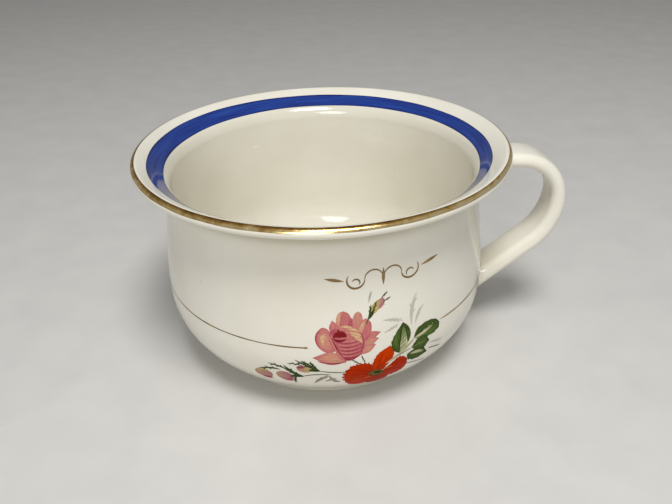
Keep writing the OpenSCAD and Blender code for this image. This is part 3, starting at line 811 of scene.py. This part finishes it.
brush(leaf, curve((46.4, 38.8), (52, 39.4), (57, 36)), 2.2, (0.85, 0.95, 0.6, -0.1), 5)
brush(leaf, curve((46.8, 43.4), (52, 45), (58.6, 43.4)), 0.5, (0.7, 0.7, 0.5, 0), 6)
make_piece("leaf_print", lay_on_wall(leaf), enamel("leaf_green_enamel", [
    (0.0, "#1E280E"), (0.25, "#38481E"), (0.5, "#586C34"), (0.75, "#8E946A"), (1.0, "#CAC4A2")]),
    "green_enamel", "leaf_print")

# Stems: fine lines of green enamel, printed with the rest of the spray, that tie the flowers, leaves and
# buds together.
stems = bmesh.new()
for width, *points in (
        (0.7, (-14.2, 32.4), (-8, 35.4), (1.1, 34)), (0.7, (-5.1, 37.4), (2, 35.9), (9.2, 35.2)),
        (0.8, (12.4, 44.8), (15, 42.5), (17.4, 40.4)), (0.7, (17.6, 47), (18.4, 44), (19.8, 41.6)),
        (0.7, (60.2, 36.6), (65.5, 35), (71.8, 32.5)), (0.6, (45, 30.8), (53.5, 28.8), (62, 26)),
        (0.8, (20.4, 66), (21.4, 69), (22.2, 71)), (0.6, (38, 40.6), (42, 42), (46.6, 43.4))):
    brush(stems, curve(*points), width, (0.3, 0.4, 0.5, 0), 3, 0.25)
make_piece("stem_print", lay_on_wall(stems), enamel("stem_green_enamel", [
    (0.0, "#364230"), (0.5, "#5C664E"), (1.0, "#8E8E74")]), "green_enamel", "stem_print")

# Buds: half-open rosebuds in pink and yellow, three low on the left and one above the rose, each held in
# dark feathery sepals.
buds = bmesh.new()
brush(buds, curve((-32.4, 29.6), (-38, 31), (-43.6, 28.6)), 8.6, (0.45, 0.6, 0.75, -0.1), 0, 0.5)
brush(buds, curve((-33.6, 32.6), (-38, 35), (-42.2, 31.6)), 2.6, (0.9, 0.95, 0.9, -0.05), 1)
brush(buds, curve((-33, 27), (-36.5, 25.4), (-40.4, 26.6)), 2.6, (0.1, 0.2, 0.4, 0.1), 1)
brush(buds, curve((-20, 29.6), (-25, 31), (-30, 32.4)), 8.4, (0.3, 0.55, 0.75, -0.1), 0, 0.5)
brush(buds, curve((-20, 27.4), (-24, 26.4), (-28, 28)), 2.6, (0.2, 0.4, 0.7, 0), 1)
brush(buds, curve((-8.6, 38), (-13, 39), (-17.4, 38.8)), 5.4, (0.95, 0.8, 0.35, -0.1), 0, 0.5)
brush(buds, curve((-13, 39.6), (-15.4, 40.6), (-17.6, 39.8)), 2, (0.3, 0.2, 0.3, 0), 1)
brush(buds, curve((22.6, 70.8), (25.4, 76), (30.6, 79.2)), 4.6, (0.9, 0.95, 0.45, -0.1), 0, 0.5)
brush(buds, curve((27, 73.8), (29.4, 75.6), (30.8, 78.8)), 2, (0.6, 0.5, 0.45, 0), 1)
make_piece("bud_print", lay_on_wall(buds), enamel("bud_pink_enamel", [
    (0.0, "#7A242C"), (0.3, "#A2545C"), (0.55, "#B4807E"), (0.8, "#B4986E"), (1.0, "#BCAA6C")]),
    "pink_enamel", "bud_print")


def frond(bm, path, width, shade, layer, hairs):
    """Lays a stroke with short side strokes that lean forwards, as on a sepal or a grass."""
    brush(bm, path, width, shade, layer)
    for i in range(hairs):
        root = path(0.25 + 0.55 * i / hairs)
        ahead = path(0.4 + 0.55 * i / hairs) - root
        aside = (0.8 if i % 2 else -0.8) * Vector((-ahead.y, ahead.x))
        brush(bm, curve(root, root + 0.8 * ahead, root + 1.4 * ahead + aside), 0.6 * width, shade, layer)


sepals = bmesh.new()
for width, *points in (
        (1.1, (-22.2, 37.3), (-27, 40), (-33.6, 40.6)), (1.2, (-26.7, 36.4), (-31, 38), (-40, 34.4)),
        (1.8, (-13.8, 32.3), (-19, 33.6), (-24.8, 41)), (1.4, (-18, 33), (-19.8, 29), (-19.7, 24)),
        (1.2, (-16, 33), (-21, 34.4), (-23.8, 38.4)), (2.6, (-13.8, 32.2), (-18.5, 33), (-22, 31.2)),
        (1.3, (-4.8, 37.5), (-11, 41.2), (-18.2, 45.6)), (1.3, (-5.1, 37.6), (-8.4, 41), (-9.9, 45)),
        (1.0, (-8, 40.4), (-12, 43.6), (-14.8, 45.2)), (0.7, (-12, 40.5), (-17.5, 43.2), (-22.6, 42.4)),
        (2.4, (-4.6, 37.4), (-8, 38.6), (-11, 38)), (1.0, (21.8, 69.2), (22.6, 73), (23.2, 77.2)),
        (0.8, (22.2, 70), (25.4, 75), (26.4, 78.8)), (0.7, (28.4, 78.8), (31, 82), (32.8, 82.6)),
        (0.6, (29.6, 77.2), (33, 79), (34.4, 79.2)), (2.2, (21.4, 68.6), (23, 71.6), (24.8, 73.4))):
    frond(sepals, curve(*points), width, (0.25, 0.32, 0.5, 0), 2, 4)
make_piece("bud_sepals", lay_on_wall(sepals), enamel("sepal_green_enamel", [
    (0.0, "#26301A"), (0.4, "#42502C"), (0.8, "#69744A"), (1.0, "#8A8D68")]), "green_enamel", "bud_print")

# Sprigs: faint grey grasses behind the flowers, printed thinly so that the cream shows through. A darker
# spray of small leaves lies under the buds' stems.
sprigs = bmesh.new()
for hairs, width, *points in (
        (3, 2.3, (46.6, 58.6), (45.4, 70), (50.4, 77.2)), (2, 1.9, (49, 59), (50.2, 65.6), (54.8, 68.8)),
        (6, 1.4, (29.3, 66.4), (35, 66.2), (41.4, 63)), (6, 1.2, (29.8, 58.6), (34, 60.2), (39, 61.8)),
        (6, 1.0, (59.4, 41.2), (65, 40.2), (71, 37.6)), (6, 1.0, (22, 78), (22.4, 82), (24, 85))):
    frond(sprigs, curve(*points), width, (0.5, 0.4, 0.75, 0.2), 0, hairs)
for width, *points in (
        (2.4, (-8.4, 24.8), (-5, 31.6), (1.2, 32.9)), (2.6, (0.4, 32.6), (2.4, 26), (6.9, 26)),
        (1.8, (-2.4, 26.8), (1, 29.4), (4.4, 30))):
    frond(sprigs, curve(*points), width, (0.0, 0.05, 0.3, 0.1), 0, 4)
make_piece("sprig_print", lay_on_wall(sprigs), enamel("grey_enamel", [
    (0.0, "#8C8876"), (0.25, "#B2AEA4"), (0.5, "#C4C0B6"), (1.0, "#D8D4C8")]),
    "grey_enamel", "sprig_print")

# Gilt flourish: a small symmetrical pair of scrolls with leaf ends over the spray, drawn freehand with a
# fine brush in the same thin gold as the belly line.
flourish_at = Vector((29.0, 92.0))
scroll_r = 5.0
scroll_w = 0.9
plain = (0, 0, 0, 0)
flourish = bmesh.new()


def seen_from_front(place):
    """Place on the wall of a point that is drawn as seen from the front."""
    return Vector((belly_r * math.asin(place.x / wall_reach(place.y)), place.y))


def scroll(side, centre, radius, start, end):
    """Path round one scroll of the flourish, mirrored for its left side."""
    def path(t):
        a = math.radians(start + (end - start) * t)
        spot = Vector(centre) + radius * Vector((math.cos(a), math.sin(a)))
        return seen_from_front(flourish_at + Vector((side * spot.x, spot.y)))
    return path


outer_scroll = 3 * scroll_r - scroll_w
sweep_r = scroll_r - scroll_w / 2
curl_r = scroll_r / 2 - scroll_w / 2
for side in (-1, 1):
    inner_sweep = scroll(side, (scroll_r, 0), sweep_r, 180, -10)
    outer_sweep = scroll(side, (outer_scroll, 0), sweep_r, 170, 400)
    curl = scroll(side, (outer_scroll, -0.3 * scroll_r), curl_r, 20, 220)
    brush(flourish, inner_sweep, scroll_w, plain, 0, 0.5)
    brush(flourish, outer_sweep, 1.3 * scroll_w, plain, 1, 0.5)
    brush(flourish, curl, scroll_w, plain, 2, 0.5)
    leaf_root = seen_from_front(flourish_at + Vector((side * 4 * scroll_r, 0)))
    leaf_tip = seen_from_front(flourish_at + Vector((side * 6 * scroll_r, 0.4 * scroll_r)))
    brush(flourish, curve(leaf_root, leaf_tip), 2 * scroll_w, plain, 1, 0.9)
middle_leaf = curve(seen_from_front(flourish_at - Vector((0, scroll_r))),
                    seen_from_front(flourish_at + Vector((0, scroll_r))))
brush(flourish, middle_leaf, 2 * scroll_w, plain, 3, 0.9)
make_piece("gilt_flourish", lay_on_wall(flourish), thin_gold, "gilding", "gilt_flourish")
